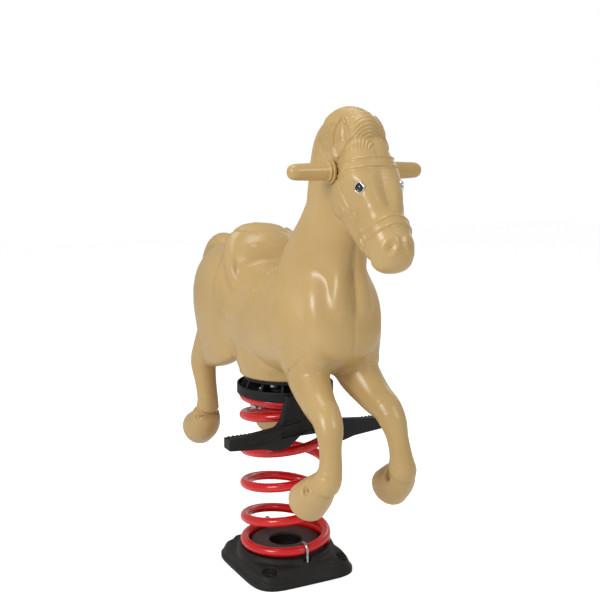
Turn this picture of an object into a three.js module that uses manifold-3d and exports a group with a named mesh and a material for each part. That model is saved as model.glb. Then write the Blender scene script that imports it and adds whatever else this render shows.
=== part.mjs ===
// Spring rider horse: a hollow moulded horse on one coil spring, with a cast footrest bracket and a moulded base.
// Millimetres, +Z up, the horse faces +X and its left side is +Y. The origin is on the ground, on the spring's axis.
import * as THREE from 'three';
import { mergeVertices } from 'three/addons/utils/BufferGeometryUtils.js';
import Module from 'manifold-3d';

const wasm = await Module();
wasm.setup();

// Driving dimensions
const gap = 0.3; // between touching or cut neighbours
const coilRadius = 90; // spring axis to wire centre
const wireRadius = 10;
const coilBottom = 60; // wire centre height of the lowest turn
const coilTop = 390; // wire centre height of the highest turn
const coilTurns = 6;
const coilStart = 50; // angle of the lower wire end, degrees
const flatTurn = 230; // each end turn lies flat over this angle, degrees
const easeTurn = 160; // the pitch builds up over this angle, degrees
const stretchCuts = [0, 0.37, 0.6, 1]; // where the three stretches of the spring meet, share of its turns

const baseHalf = [130, 121];
const baseHoles = [102, 90]; // empty ground bolt holes, half spacings
const deckTop = 40;
const seatTop = coilBottom - wireRadius - gap;
const hubRadius = 77;
const hubTop = 57;

const rimRadius = 104.6;
const flangeBottom = coilTop + wireRadius + gap;
const flangeTop = flangeBottom + 7;
const plateTop = 436.7;
const plateBottom = 428;
const neckRadius = 60;
const webFront = 110;
const beamFront = 119;
const armTop = 340;
const armHalfLength = 184;

const wall = 5;
const bossRadius = 99;
const bellyHole = 40; // the same clear hole runs up through the bracket, the boss and the mounting ring
const bossBottom = plateTop + gap;
const bossFloor = bossBottom + 8;
const handle = { x: 293, z: 878, radius: 11, half: 141 };
const collarFace = 52;
const eye = { x: 372, y: 45, z: 855, radius: 9 };

// Horse outlines: [x, z, half depth, half width] along a centre line that runs in the plane of symmetry
const torsoLine = [
  [-318, 588, 76, 66], [-262, 582, 114, 104], [-180, 578, 132, 120], [-80, 566, 116, 118], [10, 562, 108, 116],
  [100, 572, 114, 114], [176, 588, 114, 106], [238, 606, 100, 84], [284, 622, 68, 52],
];
const neckLine = [
  [162, 610, 124, 98], [197, 680, 112, 80], [224, 750, 96, 63], [242, 820, 84, 54], [256, 885, 76, 49], [268, 935, 60, 43],
];
const headLine = [
  [270, 920, 64, 45], [300, 878, 78, 49], [338, 825, 68, 48], [380, 764, 54, 44], [411, 714, 44, 40],
];
const forelockLine = [[218, 930, 40, 40], [262, 940, 54, 46], [318, 935, 50, 42], [350, 922, 30, 33]];
const crestLine = [[240, 965, 22, 22], [190, 935, 26, 24], [162, 880, 24, 22], [146, 810, 24, 20], [126, 745, 20, 18]];
const tailLine = [[-272, 670, 22, 22], [-332, 690, 28, 30], [-370, 662, 28, 32], [-380, 620, 26, 28], [-362, 580, 16, 20]];
const cantleLine = [[-140, 600, 60, 116], [-150, 690, 38, 94], [-158, 740, 18, 58]];
// The muscles that stand proud of the barrel: [x, y, z, half depth, half width], the y is for the left side
const haunchLine = [[-220, 66, 640, 60, 50], [-206, 78, 570, 76, 46], [-190, 84, 500, 62, 40], [-180, 84, 462, 40, 34]];
const shoulderLine = [[150, 52, 650, 60, 50], [186, 62, 580, 66, 46], [204, 56, 510, 58, 42], [212, 54, 478, 44, 36]];

// Leg outlines: [x, y, z, half depth, half width]; the y is for the left side
const frontLeg = {
  line: [
    [172, 50, 545, 66, 42], [206, 54, 484, 52, 40], [262, 62, 441, 36, 33], [302, 67, 421, 28, 29], [321, 71, 400, 24, 26],
    [333, 78, 372, 22, 24], [336, 85, 335, 25, 26], [322, 91, 300, 27, 28],
  ],
  hoof: [[332, 89, 308, 27, 28], [308, 93, 278, 35, 36], [276, 93, 248, 40, 40]],
  hole: [296, 282],
};
const hindLeg = {
  line: [
    [-190, 80, 500, 54, 40], [-222, 86, 460, 42, 34], [-242, 92, 420, 32, 30], [-232, 94, 380, 25, 26],
    [-222, 94, 340, 25, 26], [-224, 94, 306, 28, 28],
  ],
  hoof: [[-222, 94, 312, 29, 29], [-242, 94, 276, 38, 38], [-278, 94, 252, 41, 41]],
  hole: [-250, 292],
};

const paint = {
  tan: { color: 0xc4a56c, roughness: 0.42, metalness: 0 },
  black: { color: 0x242423, roughness: 0.6, metalness: 0 },
  red: { color: 0xc01a1e, roughness: 0.25, metalness: 0.1 },
  zinc: { color: 0xb9bcbd, roughness: 0.35, metalness: 0.9 },
  pupil: { color: 0x0b0b0c, roughness: 0.1, metalness: 0 },
};

const part = new THREE.Group();
part.name = 'spring_rider_horse';

// A closed geometry becomes a solid that can be joined and cut
function solid(geometry) {
  const plain = geometry.index ? geometry.toNonIndexed() : geometry.clone();
  const bare = new THREE.BufferGeometry().setAttribute('position', plain.getAttribute('position'));
  const merged = mergeVertices(bare, 1e-3);
  const vertProperties = merged.attributes.position.array;
  return new wasm.Manifold(new wasm.Mesh({ numProp: 3, vertProperties, triVerts: merged.index.array }));
}

function geometryOf(made) {
  const mesh = made.getMesh();
  const geometry = new THREE.BufferGeometry();
  geometry.setAttribute('position', new THREE.BufferAttribute(new Float32Array(mesh.vertProperties), 3));
  geometry.setIndex(new THREE.BufferAttribute(new Uint32Array(mesh.triVerts), 1));
  geometry.computeVertexNormals();
  return geometry;
}

function add(name, shape, finish) {
  const geometry = shape.isBufferGeometry ? shape : geometryOf(shape);
  const mesh = new THREE.Mesh(geometry, new THREE.MeshStandardMaterial(paint[finish]));
  mesh.name = name;
  part.add(mesh);
  return mesh;
}

function join(pieces) {
  return pieces.reduce((all, piece) => all.add(piece));
}

function cut(body, tools) {
  return tools.reduce((rest, tool) => rest.subtract(tool), body);
}

// What is left of a cut form when its loose slivers are dropped
function largest(shape) {
  return shape.decompose().reduce((best, piece) => (piece.volume() > best.volume() ? piece : best));
}

// A closed skin over rings of points that all have the same count; its two end rings are closed by fans
function skin(rings) {
  const count = rings[0].length;
  const last = (rings.length - 1) * count;
  const points = rings.flat();
  const centre = (ring) => ring.reduce((sum, p) => sum.add(p), new THREE.Vector3()).divideScalar(count);
  const first = points.push(centre(rings[0])) - 1;
  const final = points.push(centre(rings[rings.length - 1])) - 1;
  const index = [];
  for (let j = 0; j < count; j += 1) {
    const k = (j + 1) % count;
    for (let i = 0; i < last; i += count) {
      index.push(i + j, i + k, i + count + k, i + j, i + count + k, i + count + j);
    }
    index.push(first, k, j, final, last + j, last + k);
  }
  return new THREE.BufferGeometry().setFromPoints(points).setIndex(index);
}

// A rounded form along a centre line of [x, y, z, half depth, half width]; grow moves its skin out or in
function form(stations, { sides = 24, steps = 16, startCap = 30, endCap = 30, power = 2, grow = 0 }) {
  const path = new THREE.CatmullRomCurve3(stations.map((s) => new THREE.Vector3(s[0], s[1], s[2])));
  const sizes = new THREE.CatmullRomCurve3(stations.map((s) => new THREE.Vector3(s[3], s[4], 0)));
  const length = path.getLength();
  const rounds = [0.05, 0.4, 0.75];
  const places = [];
  rounds.forEach((a) => places.push([startCap * (1 - Math.cos(a * Math.PI / 2)) / length, Math.sin(a * Math.PI / 2)]));
  for (let i = 0; i <= steps; i += 1) {
    places.push([(startCap + (length - startCap - endCap) * i / steps) / length, 1]);
  }
  rounds.reverse().forEach((a) => {
    places.push([1 - endCap * (1 - Math.cos(a * Math.PI / 2)) / length, Math.sin(a * Math.PI / 2)]);
  });
  const rings = places.map(([u, share]) => {
    const t = path.getUtoTmapping(u);
    const size = sizes.getPoint(t);
    const along = path.getTangent(t);
    const across = new THREE.Vector3(0, 1, 0).addScaledVector(along, -along.y).normalize();
    const deep = new THREE.Vector3().crossVectors(along, across);
    const centre = path.getPoint(t);
    return Array.from({ length: sides }, (_, j) => {
      const angle = 2 * Math.PI * j / sides;
      const round = (v) => Math.sign(v) * Math.abs(v) ** (2 / power);
      return centre.clone()
        .addScaledVector(across, round(Math.cos(angle)) * (size.y + grow) * share)
        .addScaledVector(deep, round(Math.sin(angle)) * (size.x + grow) * share);
    });
  });
  return solid(skin(rings));
}

const inPlane = (line) => line.map(([x, z, depth, width]) => [x, 0, z, depth, width]);

function drum(radius, low, high, sides = 36) {
  const geometry = new THREE.CylinderGeometry(radius, radius, high - low, sides);
  return solid(geometry.rotateX(Math.PI / 2).translate(0, 0, (low + high) / 2));
}

function crossDrum(radius, low, high, x, z, sides = 24) {
  const geometry = new THREE.CylinderGeometry(radius, radius, high - low, sides);
  return solid(geometry.translate(x, (low + high) / 2, z));
}

function block(low, high) {
  const size = high.map((v, i) => v - low[i]);
  const middle = high.map((v, i) => (v + low[i]) / 2);
  return solid(new THREE.BoxGeometry(...size).translate(...middle));
}

// A turned form about the vertical axis from [radius, height] points that start and end on the axis
function turned(points, sides = 36) {
  const profile = points.map(([radius, height]) => new THREE.Vector2(radius, height));
  return solid(new THREE.LatheGeometry(profile, sides).rotateX(Math.PI / 2));
}

// Spring

const endAngle = coilTurns * 360;
const slope = (coilTop - coilBottom) / (endAngle - 2 * flatTurn - easeTurn);

function wireHeight(angle) {
  const rise = (a) => {
    const s = Math.min(Math.max((a - flatTurn) / easeTurn, 0), 1);
    return a <= flatTurn + easeTurn ? easeTurn * s * s / 2 : a - flatTurn - easeTurn / 2;
  };
  const half = endAngle / 2;
  const middle = (coilTop + coilBottom) / 2;
  if (angle <= half) return coilBottom + slope * rise(angle);
  return 2 * middle - coilBottom - slope * rise(endAngle - angle);
}

class Coil extends THREE.Curve {
  constructor(from, to) {
    super();
    this.from = from;
    this.to = to;
  }

  getPoint(t, target = new THREE.Vector3()) {
    const angle = this.from + (this.to - this.from) * t;
    const around = THREE.MathUtils.degToRad(coilStart + angle);
    return target.set(coilRadius * Math.cos(around), coilRadius * Math.sin(around), wireHeight(angle));
  }
}

function springStretch(from, to) {
  const curve = new Coil(from, to);
  const steps = Math.ceil((to - from) / 18);
  const sides = 8;
  const rings = Array.from({ length: steps + 1 }, (_, i) => {
    const centre = curve.getPoint(i / steps);
    const out = new THREE.Vector3(centre.x, centre.y, 0).normalize();
    const along = curve.getTangent(i / steps);
    const up = new THREE.Vector3().crossVectors(out, along).normalize().negate();
    return Array.from({ length: sides }, (__, j) => {
      const a = 2 * Math.PI * (j + 0.5) / sides;
      return centre.clone().addScaledVector(out, wireRadius * Math.cos(a)).addScaledVector(up, wireRadius * Math.sin(a));
    });
  });
  return solid(skin(rings));
}

function buildSpring() {
  const names = ['spring_lower', 'spring_middle', 'spring_upper'];
  const cutGap = gap / coilRadius * 180 / Math.PI;
  names.forEach((name, i) => {
    const from = endAngle * stretchCuts[i] + (i ? cutGap : 0);
    const to = endAngle * stretchCuts[i + 1];
    add(name, springStretch(from, to), 'red');
  });
}

// Base

function outline(halfX, halfY, height, power = 5, count = 40) {
  return Array.from({ length: count }, (_, j) => {
    const angle = 2 * Math.PI * (j + 0.5) / count;
    const round = (v) => Math.sign(v) * Math.abs(v) ** (2 / power);
    return new THREE.Vector3(halfX * round(Math.cos(angle)), halfY * round(Math.sin(angle)), height);
  });
}

const clampLegs = [coilRadius - wireRadius - 4, coilRadius + wireRadius + 4];

function buildBase() {
  const [halfX, halfY] = baseHalf;
  const levels = [[0, 0], [0, 9], [3.5, 13], [9, 26], [17, 37], [22, deckTop]];
  const skirt = skin(levels.map(([inset, z]) => outline(halfX - inset, halfY - inset, z)));
  const shoulder = turned([[0, deckTop - 6], [109, deckTop - 6], [106, deckTop + 3], [102, seatTop], [0, seatTop]]);
  const hub = turned([[0, seatTop - 4], [hubRadius, seatTop - 4], [hubRadius, hubTop - 2], [hubRadius - 2, hubTop], [0, hubTop]]);
  const bore = turned([[0, 9], [24, 9], [24, 30], [37, 30], [37, hubTop + 5], [0, hubTop + 5]]);
  const holes = [];
  for (const sx of [-1, 1]) {
    for (const sy of [-1, 1]) {
      const [x, y] = [sx * baseHoles[0], sy * baseHoles[1]];
      holes.push(drum(5.5, -5, deckTop + 5, 12).translate(x, y, 0));
      holes.push(drum(17, deckTop - 12, deckTop + 9, 20).translate(x, y, 0));
    }
    for (const r of clampLegs) {
      holes.push(drum(3.3, -5, hubTop + 5, 12).translate(sx * r, 0, 0));
      holes.push(drum(9, -5, 14, 12).translate(sx * r, 0, 0));
    }
    holes.push(block([sx * clampLegs[1] - 7, -9, seatTop - 7], [sx * clampLegs[1] + 9, 9, seatTop + 5]));
  }
  add('base_moulding', cut(join([solid(skirt), shoulder, hub]), [bore, ...holes]), 'black');
}

function hexNut(radius, bore, low, high) {
  const nut = new THREE.CylinderGeometry(radius, radius, high - low, 6).rotateX(Math.PI / 2);
  return solid(nut.translate(0, 0, (low + high) / 2)).subtract(drum(bore, low - 1, high + 1, 10));
}

function buildLowerClamps() {
  const rod = 3;
  const reach = coilRadius - clampLegs[0];
  for (const [side, sx, angle] of [['front', 1, 360], ['rear', -1, 180]]) {
    const crown = wireHeight(angle - coilStart);
    const points = [new THREE.Vector3(-reach, 0, 4)];
    for (let i = 0; i <= 12; i += 1) {
      const a = Math.PI * (1 - i / 12);
      points.push(new THREE.Vector3(reach * Math.cos(a), 0, crown + reach * Math.sin(a)));
    }
    points.push(new THREE.Vector3(reach, 0, 4));
    const rings = points.map((p, i) => {
      const along = (points[i + 1] || p).clone().sub(points[i - 1] || p).normalize();
      const across = new THREE.Vector3(0, 1, 0);
      const deep = new THREE.Vector3().crossVectors(along, across);
      return Array.from({ length: 8 }, (_, j) => {
        const a = 2 * Math.PI * j / 8;
        return p.clone().addScaledVector(across, rod * Math.cos(a)).addScaledVector(deep, rod * Math.sin(a));
      });
    });
    add(`lower_clamp_${side}`, solid(skin(rings)).translate(sx * coilRadius, 0, 0), 'zinc');
    clampLegs.forEach((r, i) => {
      const place = i ? 'outer' : 'inner';
      const washer = drum(7.5, 12.2, 13.7, 14).subtract(drum(3.3, 10, 16, 10));
      add(`lower_clamp_washer_${side}_${place}`, washer.translate(sx * r, 0, 0), 'zinc');
      add(`lower_clamp_nut_${side}_${place}`, hexNut(5.8, 3.3, 6.6, 11.9).translate(sx * r, 0, 0), 'zinc');
    });
  }
}

// Bracket

const gussetHalf = 3;
const boltCircle = 75;
const boltAngles = [45, 135, 225, 315];
const clipAngles = [105, 195, 285];
const clipBolt = 69;

function polygon(points, low, high) {
  const shape = new THREE.Shape(points.map(([y, z]) => new THREE.Vector2(y, z)));
  const geometry = new THREE.ExtrudeGeometry(shape, { depth: high - low, bevelEnabled: false });
  // The outline's x and y become the row's Y and Z, and its depth becomes X
  geometry.applyMatrix4(new THREE.Matrix4().set(0, 0, 1, low, 1, 0, 0, 0, 0, 1, 0, 0, 0, 0, 0, 1));
  return solid(geometry);
}

function mirrored(points) {
  return [...points, ...points.map(([y, z]) => [-y, z]).reverse()];
}

function atAngle(shape, degrees, radius) {
  const a = THREE.MathUtils.degToRad(degrees);
  return shape.translate(radius * Math.cos(a), radius * Math.sin(a), 0);
}

function buildBracket() {
  const band = drum(rimRadius, flangeBottom - 5, flangeTop + 9, 48).subtract(drum(rimRadius - 3.8, 0, 600, 48));
  const flange = drum(rimRadius - 1, flangeBottom, flangeTop, 48);
  const neck = drum(neckRadius, flangeTop - 1, plateBottom + 1);
  const plate = turned([[0, plateBottom], [86, plateBottom], [90, plateBottom + 4], [90, plateTop], [0, plateTop]]);
  const gussetOutline = [
    [neckRadius - 3, plateBottom + 1], [neckRadius - 3, flangeTop - 1], [rimRadius - 8, flangeTop - 1], [86, plateBottom + 1],
  ];
  const gusset = polygon(gussetOutline, -gussetHalf, gussetHalf);
  const gussets = Array.from({ length: 12 }, (_, i) => gusset.rotate([0, 0, i * 30]));
  const web = polygon(mirrored([[52, flangeTop + 6], [57, 390], [66, 362], [84, 341], [84, 325], [0, 325]]), 102, webFront);
  const rib = polygon([[52, flangeTop + 6], [57, 390], [66, 362], [86, 341], [74, 336], [58, 362], [49, 390], [44, flangeTop + 6]],
    102, webFront + 5);
  const archPoints = [[armHalfLength, armTop], [92, armTop], [72, armTop], [40, 352], [0, 360]];
  const lowPoints = [[0, 334], [24, 328], [44, 312], [60, 304], [80, 304], [106, 311], [armHalfLength, 318]];
  const right = [...archPoints, ...lowPoints];
  const left = right.map(([y, z]) => [-y, z]).reverse();
  const beam = [polygon(right, 102, beamFront), polygon(left, 102, beamFront)];
  const arms = [1, -1].map((side) => {
    const points = [[66, armTop], [armHalfLength, armTop], [armHalfLength, 318], [106, 311], [78, 304], [66, 304]];
    const outlineY = points.map(([y, z]) => [side * y, z]);
    return polygon(side > 0 ? outlineY.reverse() : outlineY, 88, 110);
  });
  const treads = [];
  for (const side of [-1, 1]) {
    for (let i = 0; i < 6; i += 1) {
      const y = side * (130 + i * 9);
      treads.push(block([91, y - 2, armTop - 1], [beamFront - 3, y + 2, armTop + 2.5]));
    }
  }
  const body = join([band, flange, neck, plate, ...gussets, web, rib, rib.mirror([0, 1, 0]), ...beam, ...arms, ...treads]);
  const tools = [drum(bellyHole, flangeBottom - 20, plateTop + 10, 36)];
  for (const angle of boltAngles) tools.push(atAngle(drum(5.4, plateBottom - 2, plateTop + 5, 16), angle, boltCircle));
  for (const angle of boltAngles) tools.push(atAngle(drum(10.5, flangeTop + 1, plateBottom, 20), angle, boltCircle));
  for (const angle of clipAngles) {
    tools.push(atAngle(drum(4.4, 300, flangeTop + 2, 16), angle, clipBolt));
    tools.push(atAngle(drum(9.5, flangeTop, plateBottom - 1, 20), angle, clipBolt));
  }
  add('footrest_bracket', cut(body, tools), 'black');
}

function buildUpperClips() {
  clipAngles.forEach((angle, i) => {
    const lastTurn = endAngle - 360 + ((angle - coilStart + 360) % 360);
    const wireLow = wireHeight(lastTurn) - wireRadius - gap - 0.7;
    const lip = block([clipBolt - 9, -9, wireLow - 5], [coilRadius + 2, 9, wireLow]);
    const heel = block([clipBolt - 9, -9, wireLow - 1], [clipBolt + 9, 9, flangeBottom - gap]);
    const hole = drum(4.4, 300, 450, 12).translate(clipBolt, 0, 0);
    add(`upper_clip_${i + 1}`, lip.add(heel).subtract(hole).rotate([0, 0, angle]), 'zinc');
    const head = solid(new THREE.CylinderGeometry(7.2, 7.2, 5, 6).rotateX(Math.PI / 2).translate(0, 0, wireLow - 8));
    const bolt = head.add(drum(4, wireLow - 6, flangeTop + 9, 12));
    add(`upper_clip_bolt_${i + 1}`, atAngle(bolt, angle, clipBolt), 'zinc');
    add(`upper_clip_nut_${i + 1}`, atAngle(hexNut(7.2, 4.3, flangeTop + gap, flangeTop + 6.8), angle, clipBolt), 'zinc');
  });
}

function buildMounting() {
  const ring = drum(90, bossFloor + gap, bossFloor + 6).subtract(drum(bellyHole, 0, 600, 28));
  const holes = boltAngles.map((angle) => atAngle(drum(5.4, 0, 600, 12), angle, boltCircle));
  add('mounting_ring', cut(ring, holes), 'zinc');
  boltAngles.forEach((angle, i) => {
    const head = solid(new THREE.CylinderGeometry(8.2, 8.2, 6.4, 6).rotateX(Math.PI / 2).translate(0, 0, plateBottom - gap - 3.2));
    const bolt = head.add(drum(5, plateBottom - 3, bossFloor + 18, 16));
    add(`mounting_bolt_${i + 1}`, atAngle(bolt, angle, boltCircle), 'zinc');
    const nut = hexNut(8.2, 5.3, bossFloor + 6.3, bossFloor + 14);
    add(`mounting_nut_${i + 1}`, atAngle(nut, angle, boltCircle), 'zinc');
  });
}

// Horse

function horseForms(grow, sides = 20) {
  const torso = form(inPlane(torsoLine), { sides, steps: 10, startCap: 45, endCap: 45, power: 2.4, grow });
  const neck = form(inPlane(neckLine), { sides, steps: 6, startCap: 60, endCap: 40, grow });
  const head = form(inPlane(headLine), { sides, steps: 7, startCap: 40, endCap: 34, power: 2.5, grow });
  return [torso, neck, head];
}

function eyeAxis(shape, side) {
  // Turns a shape built along +Y to look out of the head, forwards by its lean
  return shape.rotate([0, 0, side > 0 ? -24 : 24]).translate(eye.x, side * eye.y, eye.z);
}

function alongSide(radius, low, high, side, sides = 24) {
  const [a, b] = side > 0 ? [low, high] : [-high, -low];
  return crossDrum(radius, a, b, 0, 0, sides);
}

function bodyOuter(grow) {
  const small = { sides: 12, steps: 5, grow };
  const forelock = form(inPlane(forelockLine), { ...small, startCap: 30, endCap: 26 });
  const crest = form(inPlane(crestLine), { ...small, startCap: 18, endCap: 18 });
  const tail = form(inPlane(tailLine), { ...small, startCap: 18, endCap: 18 });
  const cantle = form(inPlane(cantleLine), { ...small, startCap: 20, endCap: 12 });
  const muscles = [1, -1].flatMap((side) => [haunchLine, shoulderLine].map((line) => {
    const placed = line.map(([x, y, z, depth, width]) => [x, side * y, z, depth, width]);
    return form(placed, { ...small, startCap: 40, endCap: 26 });
  }));
  const boss = turned([[0, bossBottom - grow], [bossRadius - 6 + grow, bossBottom - grow], [bossRadius + grow, bossBottom + 6],
    [bossRadius + grow, 500], [0, 500]]);
  return join([...horseForms(grow), forelock, crest, tail, cantle, boss, ...muscles]);
}

function buildBody() {
  const inner = join([...horseForms(-wall, 14), drum(bossRadius - 7, bossFloor, 500, 32)]);
  const tools = [inner, drum(bellyHole, bossBottom - 5, 480, 28)];
  for (const angle of boltAngles) tools.push(atAngle(drum(5.4, bossBottom - 5, bossFloor + 5, 16), angle, boltCircle));
  tools.push(crossDrum(handle.radius + gap, -200, 200, handle.x, handle.z));
  for (const side of [-1, 1]) {
    const [low, high] = side > 0 ? [collarFace - gap, 200] : [-200, -collarFace + gap];
    tools.push(crossDrum(24, low, high, handle.x, handle.z, 32));
    tools.push(eyeAxis(alongSide(eye.radius + gap, -9, 40, side), side));
  }
  add('horse_body', cut(bodyOuter(0), tools), 'tan');
}

function buildLegs() {
  const keepOut = bodyOuter(gap + 0.1);
  const legs = { front_leg: frontLeg, hind_leg: hindLeg };
  for (const [name, leg] of Object.entries(legs)) {
    for (const [sideName, side] of [['left', 1], ['right', -1]]) {
      const place = (line) => line.map(([x, y, z, depth, width]) => [x, side * y, z, depth, width]);
      const shape = (line, options) => form(place(line), options);
      const limb = shape(leg.line, { sides: 12, steps: 9, startCap: 30, endCap: 14 });
      const hoof = shape(leg.hoof, { sides: 14, steps: 3, startCap: 14, endCap: 6 });
      const hollow = shape(leg.line, { sides: 8, steps: 6, startCap: 20, endCap: 12, grow: -wall });
      const hole = crossDrum(3.5, side * leg.line[5][1] - 60, side * leg.line[5][1] + 60, leg.hole[0], leg.hole[1], 12);
      add(`${name}_${sideName}`, largest(cut(limb.add(hoof), [hollow, hole, keepOut])), 'tan');
    }
  }
}

function buildHandle() {
  const { x, z, radius, half } = handle;
  add('handle_bar', crossDrum(radius, -half + 6, half - 6, x, z).subtract(crossDrum(radius - 2, -half, half, x, z)), 'zinc');
  for (const [sideName, side] of [['left', 1], ['right', -1]]) {
    const bore = alongSide(radius + gap, 0, half - 5.6, side);
    const collar = alongSide(22, collarFace, collarFace + 6, side, 32).subtract(bore);
    add(`grip_collar_${sideName}`, collar.translate(x, 0, z), 'tan');
    const start = collarFace + 6 + gap;
    const profile = [[0, start], [17, start], [16.6, start + 20], [14.6, half - 12], [12.5, half - 4], [8, half], [0, half]];
    const grip = new THREE.LatheGeometry(profile.map(([r, h]) => new THREE.Vector2(r, h)), 20);
    const turnedGrip = solid(grip).rotate(side > 0 ? [0, 0, 0] : [180, 0, 0]);
    add(`grip_${sideName}`, turnedGrip.subtract(bore).translate(x, 0, z), 'tan');
  }
}

function buildEyes() {
  for (const [sideName, side] of [['left', 1], ['right', -1]]) {
    const bezel = alongSide(eye.radius, -4, 3, side, 16).subtract(alongSide(6.2, -10, 10, side, 16));
    add(`eye_bezel_${sideName}`, eyeAxis(bezel, side), 'zinc');
    const profile = [[0, -4], [5.9, -4], [5.9, 1], [4.2, 3.2], [2, 4], [0, 4.2]];
    const pupil = new THREE.LatheGeometry(profile.map(([r, h]) => new THREE.Vector2(r, h)), 12);
    const placed = solid(pupil).rotate(side > 0 ? [0, 0, 0] : [180, 0, 0]);
    add(`eye_pupil_${sideName}`, eyeAxis(placed, side), 'pupil');
  }
}

buildBase();
buildLowerClamps();
buildSpring();
buildBracket();
buildUpperClips();
buildMounting();
buildBody();
buildLegs();
buildHandle();
buildEyes();

export default part;
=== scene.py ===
import itertools
import math

import bmesh
import bpy
import numpy as np
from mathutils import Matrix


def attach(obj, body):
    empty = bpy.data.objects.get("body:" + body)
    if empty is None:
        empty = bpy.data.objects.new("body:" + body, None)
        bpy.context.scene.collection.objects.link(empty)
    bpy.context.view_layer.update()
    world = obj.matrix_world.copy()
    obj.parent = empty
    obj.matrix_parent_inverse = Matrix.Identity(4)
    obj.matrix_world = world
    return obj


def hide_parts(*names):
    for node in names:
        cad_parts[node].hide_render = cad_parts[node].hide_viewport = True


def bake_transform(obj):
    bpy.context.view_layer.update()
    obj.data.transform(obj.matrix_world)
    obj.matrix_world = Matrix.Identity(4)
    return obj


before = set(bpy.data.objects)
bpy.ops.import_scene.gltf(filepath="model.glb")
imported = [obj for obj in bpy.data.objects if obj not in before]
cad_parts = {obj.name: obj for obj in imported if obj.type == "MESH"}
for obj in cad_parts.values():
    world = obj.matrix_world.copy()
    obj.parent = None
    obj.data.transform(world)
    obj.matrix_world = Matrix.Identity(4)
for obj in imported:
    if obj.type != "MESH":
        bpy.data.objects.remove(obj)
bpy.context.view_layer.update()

# Everything stands in the CAD's frame: metres, the horse faces +X, its left side is +Y, and the ground is at 0


# Camera and lights

view = {
    "azimuth": 63.33,  # degrees round the object from its right side
    "distance": 2.127,  # from the spring's axis, along the ground
    "height": 0.941,
    "pitch": 9.244,  # degrees down
    "turn": -0.87,  # degrees off the spring's axis
    "lens": 60.28,
}

lamps = [  # place, size, watts
    {"at": (0.9, -2.4, 1.7), "size": 0.9, "power": 34},
    {"at": (2.6, 0.9, 2.2), "size": 0.8, "power": 18},
    {"at": (-0.2, -0.3, 3.0), "size": 1.2, "power": 18},
    {"at": (-1.2, 2.2, 1.6), "size": 1.2, "power": 6},
]


def makeCamera(v):
    data = bpy.data.cameras.new("camera")
    data.lens = v["lens"]
    data.sensor_width = 36
    camera = bpy.data.objects.new("camera", data)
    bpy.context.collection.objects.link(camera)
    around = math.radians(v["azimuth"])
    camera.location = (v["distance"] * math.sin(around), -v["distance"] * math.cos(around), v["height"])
    camera.rotation_euler = (math.radians(90 - v["pitch"]), 0, around + math.radians(v["turn"]))
    bpy.context.scene.camera = camera


def makeLamp(lamp):
    data = bpy.data.lights.new("lamp", "AREA")
    data.size = lamp["size"]
    data.energy = lamp["power"]
    made = bpy.data.objects.new("lamp", data)
    bpy.context.collection.objects.link(made)
    made.location = lamp["at"]
    toObject = np.array((0, 0, 0.5)) - np.array(lamp["at"])
    flat = math.hypot(toObject[0], toObject[1])
    made.rotation_euler = (math.atan2(flat, -toObject[2]), 0, math.atan2(toObject[1], toObject[0]) - math.pi / 2)


makeCamera(view)
for lamp in lamps:
    makeLamp(lamp)
bpy.context.scene.view_settings.view_transform = "Standard"
print("camera and lights ready")


# Shader tools

class Value:
    def __init__(self, tree, socket):
        self.tree = tree
        self.socket = socket

    def maths(self, operation, other, swap=False):
        node = self.tree.nodes.new("ShaderNodeMath")
        node.operation = operation
        pair = (other, self) if swap else (self, other)
        for place, value in zip(node.inputs, pair):
            plug(self.tree, place, value)
        return Value(self.tree, node.outputs[0])

    def __add__(self, other): return self.maths("ADD", other)
    def __radd__(self, other): return self.maths("ADD", other, True)
    def __sub__(self, other): return self.maths("SUBTRACT", other)
    def __rsub__(self, other): return self.maths("SUBTRACT", other, True)
    def __mul__(self, other): return self.maths("MULTIPLY", other)
    def __rmul__(self, other): return self.maths("MULTIPLY", other, True)


def plug(tree, place, value):
    if isinstance(value, Value):
        tree.links.new(value.socket, place)
    elif hasattr(value, "__len__") and len(value) == 3 and len(place.default_value) == 4:
        place.default_value = (*value, 1)
    else:
        place.default_value = value


class Finish:
    def __init__(self, owner):
        owner.use_nodes = True
        self.owner = owner
        self.tree = owner.node_tree
        self.tree.nodes.clear()

    def node(self, kind, settings=None, sockets=None, output=0):
        node = self.tree.nodes.new(kind)
        for key, value in (settings or {}).items():
            if key == "stops":
                for element, (place, shade) in zip(node.color_ramp.elements, value):
                    element.position = place
                    element.color = (shade, shade, shade, 1)
            else:
                setattr(node, key, value)
        for key, value in (sockets or {}).items():
            plug(self.tree, node.inputs[key], value)
        return Value(self.tree, node.outputs[output]) if node.outputs else node

    def noise(self, scale, detail=3.0, roughness=0.55):
        where = self.node("ShaderNodeTexCoord", output=3)
        return self.node("ShaderNodeTexNoise", None,
                         {"Vector": where, "Scale": scale, "Detail": detail, "Roughness": roughness})

    def ramp(self, value, low, high):
        return self.node("ShaderNodeValToRGB", {"stops": [(low, 0), (high, 1)]}, {0: value})

    def mix(self, share, first, second):
        return self.node("ShaderNodeMix", {"data_type": "RGBA"}, {0: share, 6: first, 7: second}, 2)

    def bump(self, height, strength, distance, normal=None):
        sockets = {"Height": height, "Strength": strength, "Distance": distance}
        if normal:
            sockets["Normal"] = normal
        return self.node("ShaderNodeBump", None, sockets)

    def surface(self, sockets):
        shader = self.node("ShaderNodeBsdfPrincipled", None, sockets)
        self.node("ShaderNodeOutputMaterial", None, {"Surface": shader})
        return self.owner


def newFinish(name):
    return Finish(bpy.data.materials.new(name))


# Finishes

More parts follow.
